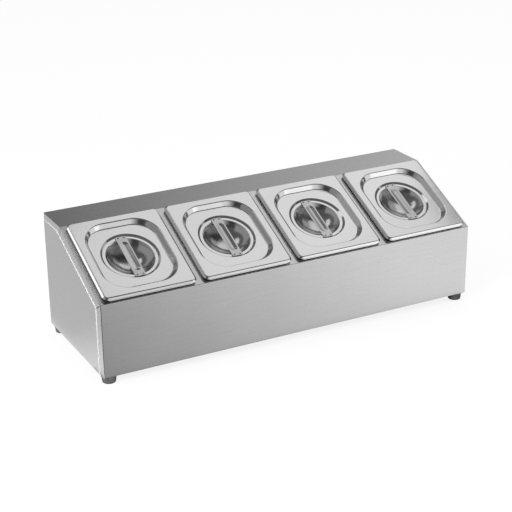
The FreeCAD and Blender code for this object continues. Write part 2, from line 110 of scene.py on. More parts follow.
STRAP_SHEET = 0.0012
STRAP_REACH = 0.0019
STRAP_CORNER = 0.0025
STRAP_EDGE = 0.00035
STRAP_EDGE_ROUNDING = 0.00028
STRAP_SUPPORT = 0.000035
STRAP_MARGIN = 0.001
GROOVE_WIDTH = 0.014
GROOVE_FLOOR = 0.003
GROOVE_FLOOR_RUN = 0.0012
GROOVE_LENGTH = 0.066
GROOVE_DEPTH = 0.0014
GROOVE_EDGE = 0.0012
GROOVE_ROUNDING = 0.006
WELD_RADIUS = 0.0019
WELD_SHOULDER_RADIUS = 0.00152
WELD_CREST_RADIUS = 0.00114
WELD_DENT_RADIUS = 0.000665
WELD_HEIGHT = 0.0006
WELD_SHOULDER_HEIGHT = 0.00048
WELD_DENT_EDGE = 0.00018
WELD_DENT_HEIGHT = 0.00012
WELD_ROOT = 0.00012
WELD_SPREAD = 0.0052
WELD_FROM_END = 0.0031
WELD_STEPS = 24

# Feet, and the screws, washers and nuts that hold them

FOOT_NODES = ("foot_front_left", "foot_front_right", "foot_back_left", "foot_back_right")
FOOT_TOP_RADIUS = 0.013
FOOT_BOTTOM_RADIUS = 0.011
FOOT_EDGE = 0.0015
FOOT_COLLAR = 0.0035
FOOT_BEAD = 0.0004
FOOT_NECK = 0.0008
FOOT_NECK_DROP = 0.00084
FOOT_NECK_ROUNDING = 0.0002
FOOT_SUPPORT = 0.00004
FOOT_HOLE_RADIUS = 0.00275
COUNTERBORE_RADIUS = 0.00525
COUNTERBORE_DEPTH = 0.006
FOOT_STEPS = 64
SHANK_RADIUS = 0.0025
SHANK_TIP_RADIUS = 0.00175
SHANK_CHAMFER = 0.00075
HEAD_RADIUS = 0.00475
HEAD_HEIGHT = 0.0034
HEAD_EDGE = 0.0012
SOCKET_FLATS = 0.0045
SOCKET_RIM_RADIUS = 0.00315
SOCKET_DEPTH = 0.0018
SOCKET_POINT = 0.00216
WASHER_RADIUS = 0.006
WASHER_HOLE_RADIUS = 0.00275
WASHER_EDGE = 0.0002
WASHER_SUPPORT = 0.00002
NUT_FLATS = 0.008
NUT_HOLE_RADIUS = 0.00265
NUT_CHAMFER = 0.0005

# Folded sheets: their broken edges, and what counts as a cut face

FLAT_ANGLE = math.radians(0.3)
EDGE_BREAK = 0.0003
PANEL_EDGE_BREAK = 0.0004
EDGE_SEGMENTS = 3
CUT_FACE_LEAST = 0.0007
CUT_FACE_MOST = 0.0013
SIDE_FACING = 0.5
CUT_SLOT = 1

# Fineness of the meshes

SUPPORT = 0.0004
FINE_SUPPORT = 0.0001
LEAST_CORNER = 0.0004
POLE_RADIUS = 0.0004
CORNER_STEPS = 18
SIDE_STEPS = 10
ARC_STEPS = 7
BOWL_STEPS = 18
RING_COUNT = 4 * (CORNER_STEPS + SIDE_STEPS)
MERGE_REACH = 1e-6
SHARP_ANGLE = math.radians(50)
SIXTH_TURN = math.pi / 3


# Paths and rings

def rounded_path(corners, support=SUPPORT):
    """Straight runs with rounded corners, each (x, y) or (x, y, radius). A support point flanks each arc."""
    path = [Vector(corners[0][:2])]
    for before, corner, after in zip(corners, corners[1:], corners[2:]):
        here = Vector(corner[:2])
        if len(corner) < 3:
            path.append(here)
            continue
        radius = corner[2]
        to_before = (Vector(before[:2]) - here).normalized()
        to_after = (Vector(after[:2]) - here).normalized()
        half = to_before.angle(to_after) / 2
        reach = radius / math.tan(half)
        centre = here + (to_before + to_after).normalized() * radius / math.sin(half)
        start = here + to_before * reach - centre
        turn_sign = 1 if to_before.x * to_after.y - to_before.y * to_after.x < 0 else -1
        sweep = (math.pi - 2 * half) * turn_sign
        path.append(here + to_before * (reach + support))
        for step in range(ARC_STEPS + 1):
            path.append(centre + Matrix.Rotation(sweep * step / ARC_STEPS, 2) @ start)
        path.append(here + to_after * (reach + support))
    path.append(Vector(corners[-1][:2]))
    return path


def rounded_ring(half_u, half_v, radius, height):
    """A rounded rectangle of points, anticlockwise from the end of its right side."""
    arcs = []
    for quarter, (sign_u, sign_v) in enumerate(((1, 1), (-1, 1), (-1, -1), (1, -1))):
        centre = Vector((sign_u * (half_u - radius), sign_v * (half_v - radius), height))
        arc = []
        for step in range(CORNER_STEPS + 1):
            turn = (quarter + step / CORNER_STEPS) * math.pi / 2
            arc.append(centre + Vector((math.cos(turn), math.sin(turn), 0)) * radius)
        arcs.append(arc)
    ring = []
    for number, arc in enumerate(arcs):
        following = arcs[(number + 1) % len(arcs)][0]
        ring += arc
        ring += [arc[-1].lerp(following, step / SIDE_STEPS) for step in range(1, SIDE_STEPS)]
    return ring


def ring_turn(number):
    """The angle of one point of a circle whose points pair up with a rounded rectangle's."""
    return (number + SIDE_STEPS / 2) * math.tau / RING_COUNT


def round_ring(radius, height):
    """A circle of points."""
    ring = []
    for number in range(RING_COUNT):
        turn = ring_turn(number)
        ring.append(Vector((radius * math.cos(turn), radius * math.sin(turn), height)))
    return ring


def hexagon_ring(flats, height):
    """A hexagon of points, as many as a circle has."""
    ring = []
    for number in range(RING_COUNT):
        turn = ring_turn(number)
        from_flat = (turn + SIXTH_TURN / 2) % SIXTH_TURN - SIXTH_TURN / 2
        reach = flats / 2 / math.cos(from_flat)
        ring.append(Vector((reach * math.cos(turn), reach * math.sin(turn), height)))
    return ring


def inset_rings(half_u, half_v, radius, path):
    """Rounded rectangles that step inwards and down along a path of (inset, height)."""
    rings = []
    for step in path:
        corner = max(radius - step.x, LEAST_CORNER)
        rings.append(rounded_ring(half_u - step.x, half_v - step.x, corner, step.y))
    return rings


def shade(solid):
    """Smooth shading that stops at sharp edges."""
    for face in solid.faces:
        face.smooth = True
    for edge in solid.edges:
        edge.smooth = edge.calc_face_angle(math.pi) < SHARP_ANGLE


def skin(rings):
    """A mesh through rings that run from the outer edge inwards, closed at the last one."""
    shell = bmesh.new()
    loops = [[shell.verts.new(point) for point in ring] for ring in rings]
    for outer, inner in zip(loops, loops[1:]):
        for number, vertex in enumerate(outer):
            after = (number + 1) % len(outer)
            shell.faces.new((vertex, outer[after], inner[after], inner[number]))
    shell.faces.new(loops[-1])
    for face in shell.faces:
        face.smooth = True
    return shell


def closed_skin(rings):
    """A closed solid through rings, from one end to the other, with its sharp edges kept."""
    solid = skin(rings)
    first_ring = list(solid.verts)[:RING_COUNT]
    solid.faces.new(first_ring[::-1])
    bmesh.ops.recalc_face_normals(solid, faces=solid.faces)
    shade(solid)
    return solid


def lathe(path, steps):
    """A closed solid turned about Z from a loop of (radius, height) points, which may touch the axis."""
    solid = bmesh.new()
    loops = []
    for step in range(steps):
        turn = Matrix.Rotation(math.tau * step / steps, 3, "Z")
        loops.append([solid.verts.new(turn @ Vector((point.x, 0, point.y))) for point in path])
    count = len(path)
    for step in range(steps):
        here, following = loops[step], loops[(step + 1) % steps]
        for number in range(count):
            after = (number + 1) % count
            solid.faces.new((here[number], following[number], following[after], here[after]))
    bmesh.ops.remove_doubles(solid, verts=solid.verts, dist=MERGE_REACH)
    bmesh.ops.dissolve_degenerate(solid, edges=solid.edges, dist=MERGE_REACH)
    bmesh.ops.recalc_face_normals(solid, faces=solid.faces)
    shade(solid)
    return solid


# Pieces and their places

def new_piece(name, shell, material, place=Matrix.Identity(4)):
    """An object at the origin whose place is in its mesh."""
    shell.transform(place)
    mesh = bpy.data.meshes.new(name)
    shell.to_mesh(mesh)
    shell.free()
    mesh.materials.append(material)
    piece = bpy.data.objects.new(name, mesh)
    bpy.context.scene.collection.objects.link(piece)
    return piece


def stands_for(piece, body, slot, *nodes):
    """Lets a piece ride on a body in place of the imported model's own nodes."""
    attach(piece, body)
    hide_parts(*nodes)


def thicken(piece, thickness):
    """Gives a skin its sheet's thickness, on the inside."""
    modifier = piece.modifiers.new("sheet", "SOLIDIFY")
    modifier.thickness = thickness
    modifier.offset = -1
    modifier.use_even_offset = True


def deck_box(node_name):
    """Lowest and highest corner of a node, measured along the deck's own axes."""
    flat = DECK.inverted()
    points = [flat @ vertex.co for vertex in frame["nodes"][node_name].data.vertices]
    low = Vector([min(point[axis] for point in points) for axis in range(3)])
    high = Vector([max(point[axis] for point in points) for axis in range(3)])
    return low, high


def half_sizes(low, high):
    return (high.x - low.x) / 2, (high.y - low.y) / 2


def on_deck(low, high):
    """From a piece's own axes, with its upper face's middle at zero, to its place on the deck."""
    middle = (low + high) / 2
    return DECK @ Matrix.Translation((middle.x, middle.y, high.z))


# Lids, straps and pans

def bowl_points(mouth, ledge):
    """A finger bowl's slice of a ball, as (radius, height) points from its mouth to its middle."""
    ball = (mouth ** 2 + BOWL_DEPTH ** 2) / (2 * BOWL_DEPTH)
    mouth_turn = math.asin(mouth / ball)
    points = []
    for step in range(1, BOWL_STEPS):
        turn = mouth_turn * (1 - step / BOWL_STEPS)
        points.append((ball * math.sin(turn), ledge - BOWL_DEPTH + ball * (1 - math.cos(turn))))
    return points


def make_lid(number, material, bowl_shaded_steel):
    """A pressed lid with a turned-down rim, a recess and a round step. Its bowl is rougher satin, painted
    darker.
    """
    low, high = deck_box(f"lid_{number}")
    half_u, half_v = half_sizes(low, high)
    rim = rounded_path([
        (RIM_CURL, -RIM_HEIGHT),
        (0, RIM_CURL_HEIGHT - RIM_HEIGHT, RIM_CURL_ROUNDING),
        (0, -RIM_BEVEL, RIM_ROUNDING),
        (RIM_BEVEL, 0, RIM_CREST),
        (LID_BORDER / 2, 0),
    ], RIM_SUPPORT)
    wall = rounded_path([
        (-LID_BORDER / 4, 0),
        (0, 0, RECESS_ROUNDING),
        (RECESS_RUN, -RECESS_DEPTH, RECESS_ROUNDING),
        (RECESS_FOOT, -RECESS_DEPTH),
    ])
    ledge = -RECESS_DEPTH - RING_DROP
    mouth = RING_RADIUS - LEDGE_WIDTH
    dish = rounded_path([
        (RING_RADIUS + RING_APRON, -RECESS_DEPTH),
        (RING_RADIUS + RING_RUN, -RECESS_DEPTH, RING_ROUNDING),
        (RING_RADIUS - RING_RUN, ledge, RING_ROUNDING),
        (mouth, ledge, BOWL_RIM_ROUNDING),
        *bowl_points(mouth, ledge),
    ])
    rings = inset_rings(half_u, half_v, LID_CORNER, rim)
    rings += inset_rings(half_u - LID_BORDER, half_v - LID_BORDER, RECESS_CORNER, wall)
    rings += [round_ring(step.x, step.y) for step in dish]
    shell = skin(rings)
    for face in shell.faces:
        if face.calc_center_median().z < ledge - BOWL_RIM_ROUNDING / 2:
            face.material_index = BOWL_SLOT
    lid = new_piece(f"lid_{number}_pressing", shell, material, on_deck(low, high))
    lid.data.materials.append(bowl_shaded_steel)
    thicken(lid, LID_SHEET)
    stands_for(lid, f"lid_{number}", "lid_steel", f"lid_{number}")


def make_strap(number, material):
    """A strap handle with a wide pressed groove. Its ends reach on to the round step's outer edge."""
    low, high = deck_box(f"lid_handle_{number}")
    low.y -= STRAP_REACH
    high.y += STRAP_REACH
    half_u, half_v = half_sizes(low, high)
    edge = rounded_path([
        (0, -STRAP_EDGE),
        (0, 0, STRAP_EDGE_ROUNDING),
        (STRAP_MARGIN, 0),
    ], STRAP_SUPPORT)
    run = (GROOVE_WIDTH - GROOVE_FLOOR) / 2
    groove = rounded_path([
        (-STRAP_MARGIN / 2, 0),
        (0, 0, GROOVE_EDGE),
        (run, -GROOVE_DEPTH, GROOVE_ROUNDING),
        (run + GROOVE_FLOOR_RUN, -GROOVE_DEPTH),
    ], FINE_SUPPORT)
    rings = inset_rings(half_u, half_v, STRAP_CORNER, edge)
    rings += inset_rings(GROOVE_WIDTH / 2, GROOVE_LENGTH / 2, GROOVE_WIDTH / 2 - LEAST_CORNER, groove)
    strap = new_piece(f"lid_{number}_strap", skin(rings), material, on_deck(low, high))
    thicken(strap, STRAP_SHEET - STRAP_EDGE)
    stands_for(strap, f"lid_{number}", "strap_steel", f"lid_handle_{number}")
    return low, high


def make_pan(number, material):
    """A drawn pan with a curled flange and a shoulder below its mouth."""
    low, high = deck_box(f"pan_{number}")
    half_u, half_v = half_sizes(low, high)
    rim = rounded_path([
        (PAN_CURL, -RIM_HEIGHT),
        (0, PAN_CURL_HEIGHT - RIM_HEIGHT, PAN_CURL_ROUNDING),
        (0, 0, PAN_EDGE_RADIUS),
        (PAN_FLANGE / 2, 0),
    ], PAN_RIM_SUPPORT)
    shoulder_inset = PAN_TAPER * SHOULDER_DROP / PAN_DEPTH
    floor_inset = PAN_TAPER + SHOULDER_STEP
    floor = PAN_SHEET - PAN_DEPTH
    wall = rounded_path([
        (-PAN_FLANGE / 4, 0),
        (0, 0, PAN_MOUTH_ROUNDING),
        (shoulder_inset, -SHOULDER_DROP, SHOULDER_ROUNDING),
        (shoulder_inset + SHOULDER_STEP, -SHOULDER_DROP - SHOULDER_STEP, SHOULDER_ROUNDING),
        (floor_inset, floor, PAN_FLOOR_RADIUS),
        (floor_inset + PAN_FLOOR_RUN, floor),
    ])
    rings = inset_rings(half_u, half_v, PAN_CORNER_OUTER, rim)
    rings += inset_rings(half_u - PAN_FLANGE, half_v - PAN_FLANGE, PAN_CORNER, wall)
    pan = new_piece(f"pan_{number}_drawn", skin(rings), material, on_deck(low, high))
    thicken(pan, PAN_SHEET)
    stands_for(pan, f"pan_{number}", "pan_steel", f"pan_{number}")


# Feet, fasteners and weld dots

def make_foot(node_name, material):
    """A tapered rubber foot with a collar and a counterbore. Returns where its screw goes."""
    low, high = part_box(node_name)
    middle = (low + high) / 2
    height = high.z - low.z
    collar_low = height - FOOT_COLLAR
    neck_radius = FOOT_TOP_RADIUS - FOOT_NECK
    path = rounded_path([
        (COUNTERBORE_RADIUS, 0),
        (FOOT_BOTTOM_RADIUS, 0, FOOT_EDGE),
        (neck_radius, collar_low - FOOT_NECK_DROP),
        (neck_radius, collar_low, FOOT_NECK_ROUNDING),
        (FOOT_TOP_RADIUS, collar_low, FOOT_BEAD),
        (FOOT_TOP_RADIUS, height, FOOT_BEAD),
        (FOOT_HOLE_RADIUS, height),
        (FOOT_HOLE_RADIUS, COUNTERBORE_DEPTH),
        (COUNTERBORE_RADIUS, COUNTERBORE_DEPTH),
        (COUNTERBORE_RADIUS, 0),
    ], FOOT_SUPPORT)[:-1]
    place = Matrix.Translation((middle.x, middle.y, low.z))
    foot = new_piece(f"{node_name}_moulding", lathe(path, FOOT_STEPS), material, place)
    stands_for(foot, "body", "foot_rubber", node_name)
    return Vector((middle.x, middle.y, 0))


def screw_shape(head_low, tip):
    """A button-head screw, head down, with a hexagon socket."""
    head_high = head_low + HEAD_HEIGHT
    outside = rounded_path([
        (SHANK_TIP_RADIUS, tip),
        (SHANK_RADIUS, tip - SHANK_CHAMFER),
        (SHANK_RADIUS, head_high),
        (HEAD_RADIUS, head_high),
        (HEAD_RADIUS, head_low, HEAD_EDGE),
        (SOCKET_RIM_RADIUS, head_low),
    ], FINE_SUPPORT)
    rings = [round_ring(POLE_RADIUS, tip)]
    rings += [round_ring(step.x, step.y) for step in outside]
    rings.append(hexagon_ring(SOCKET_FLATS, head_low))
    rings.append(hexagon_ring(SOCKET_FLATS, head_low + SOCKET_DEPTH))
    rings.append(round_ring(POLE_RADIUS, head_low + SOCKET_POINT))
    return closed_skin(rings)


def washer_shape(low, high):
    """A flat washer with broken outer edges."""
    path = rounded_path([
        (WASHER_HOLE_RADIUS, low),
        (WASHER_RADIUS, low, WASHER_EDGE),
        (WASHER_RADIUS, high, WASHER_EDGE),
        (WASHER_HOLE_RADIUS, high),
        (WASHER_HOLE_RADIUS, low),
    ], WASHER_SUPPORT)[:-1]
    return lathe(path, FOOT_STEPS)


def nut_shape(low, high):
    """A hexagon nut with a chamfered bore, as a closed ring."""
    bore = NUT_HOLE_RADIUS + NUT_CHAMFER
    rings = [
        round_ring(NUT_HOLE_RADIUS, low + NUT_CHAMFER),
        round_ring(bore, low),
        hexagon_ring(NUT_FLATS, low),
        hexagon_ring(NUT_FLATS, high),
        round_ring(bore, high),
        round_ring(NUT_HOLE_RADIUS, high - NUT_CHAMFER),
    ]
    solid = bmesh.new()
    loops = [[solid.verts.new(point) for point in ring] for ring in rings]
    for number, here in enumerate(loops):
        following = loops[(number + 1) % len(loops)]
        for step in range(RING_COUNT):
            after = (step + 1) % RING_COUNT
            solid.faces.new((here[step], here[after], following[after], following[step]))
    bmesh.ops.recalc_face_normals(solid, faces=solid.faces)
    return solid


def weld_shape():
    """A spot weld's shallow ring with a dent in its middle."""
    path = [
        Vector((0, WELD_DENT_HEIGHT)),
        Vector((WELD_DENT_RADIUS, WELD_DENT_EDGE)),
        Vector((WELD_CREST_RADIUS, WELD_HEIGHT)),
        Vector((WELD_SHOULDER_RADIUS, WELD_SHOULDER_HEIGHT)),
        Vector((WELD_RADIUS, -WELD_ROOT)),
        Vector((0, -WELD_ROOT)),
    ]
    return lathe(path, WELD_STEPS)


def repeat_tree():
    """A node tree that sets a part on each point, makes the copies real and gives them their material."""
    tree = bpy.data.node_groups.new("repeat_part", "GeometryNodeTree")
    tree.interface.new_socket("Points", in_out="INPUT", socket_type="NodeSocketGeometry")
    tree.interface.new_socket("Part", in_out="INPUT", socket_type="NodeSocketObject")
    tree.interface.new_socket("Material", in_out="INPUT", socket_type="NodeSocketMaterial")
    tree.interface.new_socket("Copies", in_out="OUTPUT", socket_type="NodeSocketGeometry")
    given = tree.nodes.new("NodeGroupInput")
    part = tree.nodes.new("GeometryNodeObjectInfo")
    copies = tree.nodes.new("GeometryNodeInstanceOnPoints")
    real = tree.nodes.new("GeometryNodeRealizeInstances")
    coat = tree.nodes.new("GeometryNodeSetMaterial")
    result = tree.nodes.new("NodeGroupOutput")
    tree.links.new(given.outputs["Part"], part.inputs["Object"])
    tree.links.new(given.outputs["Points"], copies.inputs["Points"])
    tree.links.new(part.outputs["Geometry"], copies.inputs["Instance"])
    tree.links.new(copies.outputs["Instances"], real.inputs["Geometry"])
    tree.links.new(real.outputs["Geometry"], coat.inputs["Geometry"])
    tree.links.new(given.outputs["Material"], coat.inputs["Material"])
    tree.links.new(coat.outputs["Geometry"], result.inputs["Copies"])
    return tree


REPEAT = repeat_tree()


def repeat_part(name, shape, points, material):
    """One plain mesh of a part copied to every point."""
    part = new_piece(f"{name}_one", shape, material)
    cloud = bpy.data.meshes.new(name)
    cloud.from_pydata(points, [], [])
    holder = bpy.data.objects.new(f"{name}_points", cloud)
    bpy.context.scene.collection.objects.link(holder)
    modifier = holder.modifiers.new("repeat", "NODES")
    modifier.node_group = REPEAT
    sockets = {item.name: item.identifier for item in REPEAT.interface.items_tree}
    modifier[sockets["Part"]] = part
    modifier[sockets["Material"]] = material
    bpy.context.view_layer.update()
    depsgraph = bpy.context.evaluated_depsgraph_get()
    mesh = bpy.data.meshes.new_from_object(holder.evaluated_get(depsgraph))
    bpy.data.objects.remove(holder)
    bpy.data.objects.remove(part)
    piece = bpy.data.objects.new(name, mesh)
    bpy.context.scene.collection.objects.link(piece)
    return piece


def make_welds(number, low, high, material):
    """Two weld dots on each end of a strap."""
    place = on_deck(low, high)
    along = (high.y - low.y) / 2 - WELD_FROM_END
    points = [place @ Vector((side * WELD_SPREAD, end * along, 0)) for side in (-1, 1) for end in (-1, 1)]
    shape = weld_shape()
    shape.transform(DECK)
    welds = repeat_part(f"lid_{number}_welds", shape, points, material)
    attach(welds, f"lid_{number}")


def make_fasteners(points, material):
    """Foot screws, washers and nuts, each kind as one mesh."""
    screw_low, screw_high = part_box("foot_screws")
    washer_low, washer_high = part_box("foot_washers")
    nut_low, nut_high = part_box("foot_nuts")
    shapes = {
        "foot_screws": screw_shape(screw_low.z, screw_high.z),
        "foot_washers": washer_shape(washer_low.z, washer_high.z),
        "foot_nuts": nut_shape(nut_low.z, nut_high.z),
    }
    for node_name, shape in shapes.items():
        piece = repeat_part(f"{node_name}_set", shape, points, material)
        stands_for(piece, "body", "fastener_steel", node_name)


# Folded sheets

def mark_cut_faces(shell):
    """Gives the narrow faces along an end panel's cut edges its second material, a near-white painted
    highlight.
    """
    for face in shell.faces:
        across = [vertex.co.x for vertex in face.verts]
        width = max(across) - min(across)
        if abs(face.normal.x) < SIDE_FACING and CUT_FACE_LEAST < width < CUT_FACE_MOST:
            face.material_index = CUT_SLOT


def make_sheet(node_name, material, edge_break=EDGE_BREAK, edge_highlight_paint=None):
    """A folded sheet: the solid's own shape with merged faces and clean shading on its bends."""
    shell = bmesh.new()
    shell.from_mesh(frame["nodes"][node_name].data)
    bmesh.ops.remove_doubles(shell, verts=shell.verts, dist=MERGE_REACH)
    bmesh.ops.dissolve_limit(shell, angle_limit=FLAT_ANGLE, verts=shell.verts, edges=shell.edges)
    shade(shell)
    if edge_highlight_paint:
        mark_cut_faces(shell)
    sheet = new_piece(f"{node_name}_folded", shell, material)
    rolled = sheet.modifiers.new("broken_edges", "BEVEL")
    rolled.width = edge_break
    rolled.segments = EDGE_SEGMENTS
    rolled.limit_method = "ANGLE"
    rolled.angle_limit = SHARP_ANGLE
    # The cut faces and their rolled bevels get the near-white painted highlight for the bright seam lines.
    if edge_highlight_paint:
        sheet.data.materials.append(edge_highlight_paint)
        rolled.material = CUT_SLOT
    weighted = sheet.modifiers.new("flat_faces", "WEIGHTED_NORMAL")
    weighted.keep_sharp = True
    stands_for(sheet, "body", "body_sheet", node_name)


# Materials

NOISE_SPAN = (0.25, 0.75)
SHARE_SPAN = (0, 1)
PLAIN_DETAIL = 2.0

LINE_DETAIL = 3.0
LINE_CONTRAST = 0.035
LINE_GLOSS = 0.05
CLOUD_GRAIN = (7, 7, 7)
CLOUD_CONTRAST = 0.015
CLOUD_GLOSS = 0.03
GRAIN_DEPTH = 0.0001

RUBBER_GRAIN = (900, 900, 900)
RUBBER_DETAIL = 4.0
RUBBER_BUMP = 0.25
RUBBER_BUMP_DEPTH = 0.0002
RUBBER_SMOOTHEST = 0.16
RUBBER_ROUGHEST = 0.28
RUBBER_CLEAN = (0.06, 0.06, 0.062, 1)
RUBBER_DUSTY = (0.16, 0.16, 0.16, 1)
DUST_GRAIN = (60, 60, 60)
DUST_SHARE = 0.7


def node(tree, kind, **values):
    """A shader node, with values for its inputs or its own settings."""
    made = tree.nodes.new(kind)
    for name, value in values.items():
        if name in made.inputs:
            made.inputs[name].default_value = value
        else:
            setattr(made, name, value)
    return made


def new_material(name):
    material = bpy.data.materials.new(name)
    material.use_nodes = True
    tree = material.node_tree
    return material, tree, tree.nodes["Principled BSDF"]


def stretched_noise(tree, scale, turn=0.0, detail=PLAIN_DETAIL):
    """Noise on object coordinates, drawn out by a scale for each axis, in features per metre."""
    coordinates = node(tree, "ShaderNodeTexCoord")
    turned = node(tree, "ShaderNodeMapping", vector_type="POINT", Rotation=(turn, 0, 0))
    drawn = node(tree, "ShaderNodeMapping", vector_type="POINT", Scale=scale)
    noise = node(tree, "ShaderNodeTexNoise", Scale=1.0, Detail=detail)
    tree.links.new(coordinates.outputs["Object"], turned.inputs["Vector"])
    tree.links.new(turned.outputs["Vector"], drawn.inputs["Vector"])
    tree.links.new(drawn.outputs["Vector"], noise.inputs["Vector"])
    return noise.outputs["Fac"]


def spread(tree, value, low, high, given=NOISE_SPAN):
    """A value that goes from low to high while another goes through its given span."""
    span = node(tree, "ShaderNodeMapRange")
    span.inputs["From Min"].default_value = given[0]
    span.inputs["From Max"].default_value = given[1]
    span.inputs["To Min"].default_value = low
    span.inputs["To Max"].default_value = high
    tree.links.new(value, span.inputs["Value"])
    return span.outputs["Result"]


def joined(tree, operation, first, second):
    """Two values put together by one operation."""
    both = node(tree, "ShaderNodeMath", operation=operation)
    tree.links.new(first, both.inputs[0])
    tree.links.new(second, both.inputs[1])
    return both.outputs["Value"]


def add_bump(tree, shader, height, strength, depth):
    bump = node(tree, "ShaderNodeBump", Strength=strength, Distance=depth)
    tree.links.new(height, bump.inputs["Height"])
    tree.links.new(bump.outputs["Normal"], shader.inputs["Normal"])


def brushed_steel(name, shade_level, roughness, grain, grain_bump, turn=0.0, metallic=1.0):
    """Steel sheet with a drawn-out grain: darker and lighter lines, uneven gloss and faint marks."""
    material, tree, shader = new_material(name)
    shader.inputs["Metallic"].default_value = metallic
    lines = stretched_noise(tree, grain, turn, LINE_DETAIL)
    clouds = stretched_noise(tree, CLOUD_GRAIN, turn)
    line_tint = spread(tree, lines, shade_level - LINE_CONTRAST, shade_level + LINE_CONTRAST)
    cloud_tint = spread(tree, clouds, -CLOUD_CONTRAST, CLOUD_CONTRAST)
    level = joined(tree, "ADD", line_tint, cloud_tint)
    colour = node(tree, "ShaderNodeCombineColor")
    for channel in ("Red", "Green", "Blue"):
        tree.links.new(level, colour.inputs[channel])
    tree.links.new(colour.outputs["Color"], shader.inputs["Base Color"])
    line_gloss = spread(tree, lines, roughness - LINE_GLOSS, roughness + LINE_GLOSS)
    cloud_gloss = spread(tree, clouds, -CLOUD_GLOSS, CLOUD_GLOSS)
    tree.links.new(joined(tree, "ADD", line_gloss, cloud_gloss), shader.inputs["Roughness"])
    add_bump(tree, shader, lines, grain_bump, GRAIN_DEPTH)
    return material


def moulded_rubber(name):
    """Dark rubber with a fine mould grain and some dust."""
    material, tree, shader = new_material(name)
    grain = stretched_noise(tree, RUBBER_GRAIN, detail=RUBBER_DETAIL)
    dust = stretched_noise(tree, DUST_GRAIN)
    colour = node(tree, "ShaderNodeMix", data_type="RGBA")
    colour.inputs["A"].default_value = RUBBER_CLEAN
    colour.inputs["B"].default_value = RUBBER_DUSTY
    tree.links.new(spread(tree, dust, 0.0, DUST_SHARE), colour.inputs["Factor"])
    tree.links.new(colour.outputs["Result"], shader.inputs["Base Color"])
    tree.links.new(spread(tree, grain, RUBBER_SMOOTHEST, RUBBER_ROUGHEST), shader.inputs["Roughness"])
    add_bump(tree, shader, grain, RUBBER_BUMP, RUBBER_BUMP_DEPTH)
    return material


# Camera

CAMERA_AZIMUTH = math.radians(-27.687)
CAMERA_ELEVATION = math.radians(22.391)
CAMERA_ROLL = math.radians(0.561)
AIM_RIGHT = 0.011668
AIM_DOWN = 0.089867
CAMERA_DISTANCE = 2.43916
FOCAL_PIXELS = 1378.42
PHOTO_PIXELS = 512
SENSOR = 36.0


def set_camera():
    """The camera that lays the body's corners and the lids' edges over those in the photograph."""
    base = Vector((0, 0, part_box("body_wrap")[0].z))
    back = Vector((
        math.sin(CAMERA_AZIMUTH) * math.cos(CAMERA_ELEVATION),
        -math.cos(CAMERA_AZIMUTH) * math.cos(CAMERA_ELEVATION),
        math.sin(CAMERA_ELEVATION),
    ))
    right = Vector((0, 0, 1)).cross(back).normalized()
    down = right.cross(back)
    turned_right = right * math.cos(CAMERA_ROLL) + down * math.sin(CAMERA_ROLL)
    turned_down = down * math.cos(CAMERA_ROLL) - right * math.sin(CAMERA_ROLL)
    place = base - turned_right * AIM_RIGHT - turned_down * AIM_DOWN + back * CAMERA_DISTANCE
    lens = bpy.data.cameras.new("camera")
    lens.sensor_width = SENSOR
    lens.lens = FOCAL_PIXELS * SENSOR / PHOTO_PIXELS
    camera = bpy.data.objects.new("camera", lens)
    turned = Matrix((turned_right, -turned_down, back)).transposed()
    camera.matrix_world = Matrix.Translation(place) @ turned.to_4x4()
    bpy.context.scene.collection.objects.link(camera)
    bpy.context.scene.camera = camera


# World and floor

WHITE = (1, 1, 1, 1)
AMBIENT = 0.95
SEEN_LEVEL = 1.0
FLOOR_REACH = 6.0
FLOOR_COLOUR = (0.9, 0.9, 0.9, 1)
FLOOR_ROUGHNESS = 0.9
FLOOR_GLOW_SHARE = 0.85


def seen_rays(tree):
    """1 for what the camera, metal or glass sees, 0 for light that falls on the object."""
    path = node(tree, "ShaderNodeLightPath")
    seen = joined(tree, "MAXIMUM", path.outputs["Is Camera Ray"], path.outputs["Is Glossy Ray"])
    return joined(tree, "MAXIMUM", seen, path.outputs["Is Transmission Ray"])


def set_world():
    """A white studio, a little dimmer as light than it looks."""
    world = bpy.data.worlds.new("studio")
    bpy.context.scene.world = world
    world.use_nodes = True
    tree = world.node_tree
    background = tree.nodes["Background"]
    background.inputs["Color"].default_value = WHITE
    strength = spread(tree, seen_rays(tree), AMBIENT, SEEN_LEVEL, SHARE_SPAN)
    tree.links.new(strength, background.inputs["Strength"])


def make_floor():
    """A pale floor that melts into the white background but keeps the tray's shadow."""
    material, tree, shader = new_material("pale_floor")
    shader.inputs["Base Color"].default_value = FLOOR_COLOUR
    shader.inputs["Roughness"].default_value = FLOOR_ROUGHNESS
    glow = node(tree, "ShaderNodeEmission", Strength=SEEN_LEVEL)
    mix = node(tree, "ShaderNodeMixShader")
    share = spread(tree, seen_rays(tree), 0.0, FLOOR_GLOW_SHARE, SHARE_SPAN)
    tree.links.new(share, mix.inputs["Fac"])
    tree.links.new(shader.outputs["BSDF"], mix.inputs[1])
    tree.links.new(glow.outputs["Emission"], mix.inputs[2])
    tree.links.new(mix.outputs["Shader"], tree.nodes["Material Output"].inputs["Surface"])
    shell = bmesh.new()
    bmesh.ops.create_grid(shell, x_segments=1, y_segments=1, size=FLOOR_REACH)
    floor = new_piece("floor", shell, material)


# Cards that are seen in the steel alone. A card's light is one level, or fades along an axis.

Fade = namedtuple("Fade", "axis start end first_level last_level")

CARD_RADIUS = 2.6
DOME_RADIUS = 3.0
CARD_CENTRE = 0.15
CARD_STEP = math.radians(6)

